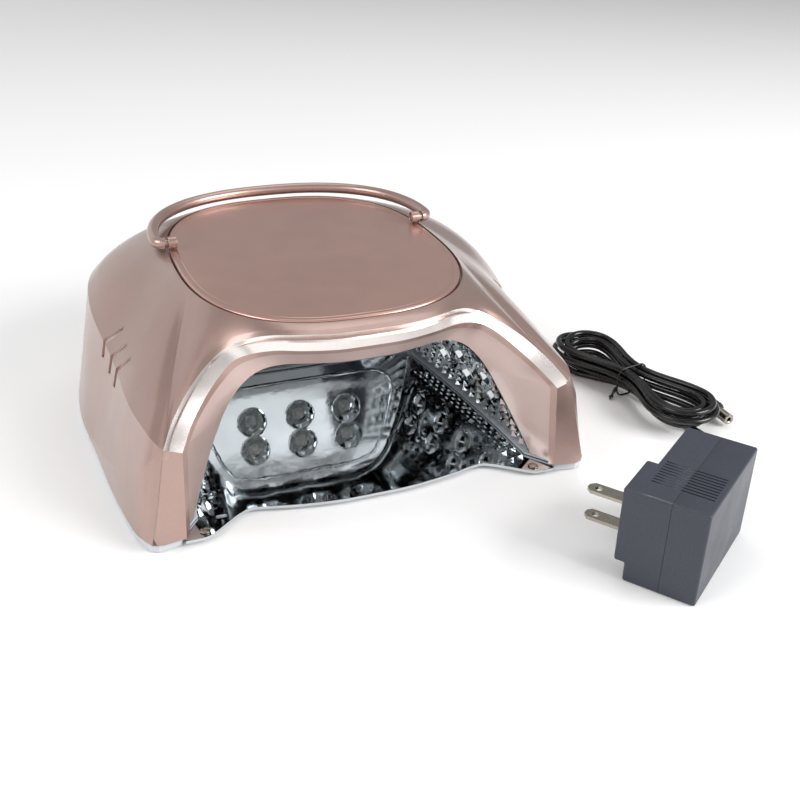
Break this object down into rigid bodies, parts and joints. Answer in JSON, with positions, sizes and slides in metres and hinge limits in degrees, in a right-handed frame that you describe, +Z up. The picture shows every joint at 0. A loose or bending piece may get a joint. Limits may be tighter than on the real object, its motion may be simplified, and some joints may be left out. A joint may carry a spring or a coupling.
{
  "type": "uv led nail lamp",
  "caption": "Domed curing lamp for nail gel with an arched hand opening, chromed inside, slide-out mirror tray, folding carry handle and plug-in power supply.",
  "frame": {"origin": "centre of the lamp's footprint, on the surface it stands on; the loose power supply and its cord are left out of the centring", "axes": "+Z up, the hand opening faces -Y, +X to the right as seen by someone facing the opening"},
  "size_m": [0.3091, 0.31, 0.0902],
  "materials": {
    "rose_gold_shell": "rose gold metallic paint, satin",
    "rose_gold_satin": "rose gold metallic paint, smooth satin",
    "chromed_reflector": "vacuum-plated chrome, polished",
    "mirror_tray": "polished mirror steel, finely perforated near the sides",
    "white_plastic": "satin white",
    "led_board": "white board with clear domed LEDs",
    "gloss_black": "gloss",
    "dark_plastic": "fine texture",
    "circuit_board": "green solder mask",
    "battery_wrap": "shrink wrap over metal cells",
    "black_rubber": "semi-gloss flexible vinyl or rubber",
    "bright_metal": "nickel plated"
  },
  "bodies": {
    "lamp": {"outer_cover": "rose_gold_shell", "handle_socket_right": "rose_gold_shell", "handle_socket_left": "rose_gold_shell", "top_lid": "rose_gold_satin", "arch_lining": "rose_gold_satin", "inner_reflector": "chromed_reflector", "base_frame": "white_plastic", "led_board_roof": "led_board", "led_board_back": "led_board", "led_board_right": "led_board", "led_board_left": "led_board", "timer_display": "led_board", "presence_sensor_right": "gloss_black", "presence_sensor_left": "gloss_black", "control_panel": "gloss_black", "display_window": "gloss_black", "switch_housing": "dark_plastic", "charge_jack": "dark_plastic", "supply_plug_half": "dark_plastic", "supply_back_half": "dark_plastic", "control_board": "circuit_board", "supply_circuit": "circuit_board", "battery_pack": "battery_wrap", "rubber_foot_1": "black_rubber", "rubber_foot_2": "black_rubber", "rubber_foot_3": "black_rubber", "rubber_foot_4": "black_rubber", "battery_lead": "black_rubber", "led_lead": "black_rubber", "cord_strain_relief": "black_rubber", "cord_lead": "black_rubber", "cord_hank": "black_rubber", "cord_tie": "black_rubber", "cord_tail": "black_rubber", "connector_grip": "black_rubber", "base_screw_1": "bright_metal", "base_screw_2": "bright_metal", "base_screw_3": "bright_metal", "base_screw_4": "bright_metal", "plug_blade_upper": "bright_metal", "plug_blade_lower": "bright_metal", "connector_barrel": "bright_metal"},
    "handle": {"carry_handle": "rose_gold_shell"},
    "tray": {"mirror_tray": "mirror_tray", "tray_rivet_right": "bright_metal", "tray_rivet_left": "bright_metal"},
    "timer_key_1": {"timer_button_1": "rose_gold_satin"},
    "timer_key_2": {"timer_button_2": "rose_gold_satin"},
    "timer_key_3": {"timer_button_3": "rose_gold_satin"},
    "rocker": {"power_rocker": "gloss_black"}
  },
  "joints": [
    {"name": "handle_hinge", "type": "hinge", "parent": "lamp", "child": "handle", "pos_m": [0, 0.02, 0.0872], "axis": [1, 0, 0], "range_deg": [0, 110]},
    {"name": "tray_slide", "type": "slide", "parent": "lamp", "child": "tray", "axis": [0, -1, 0], "range_m": [0, 0.065]},
    {"name": "timer_key_1_press", "type": "slide", "parent": "lamp", "child": "timer_key_1", "axis": [0, -1, 0], "range_m": [0, 0.001], "stiffness_N_per_m": 400},
    {"name": "timer_key_2_press", "type": "slide", "parent": "lamp", "child": "timer_key_2", "axis": [0, -1, 0], "range_m": [0, 0.001], "stiffness_N_per_m": 400},
    {"name": "timer_key_3_press", "type": "slide", "parent": "lamp", "child": "timer_key_3", "axis": [0, -1, 0], "range_m": [0, 0.001], "stiffness_N_per_m": 400},
    {"name": "rocker_tilt", "type": "hinge", "parent": "lamp", "child": "rocker", "pos_m": [-0.016, 0.0994, 0.039], "axis": [1, 0, 0], "range_deg": [-16, 0]}
  ]
}
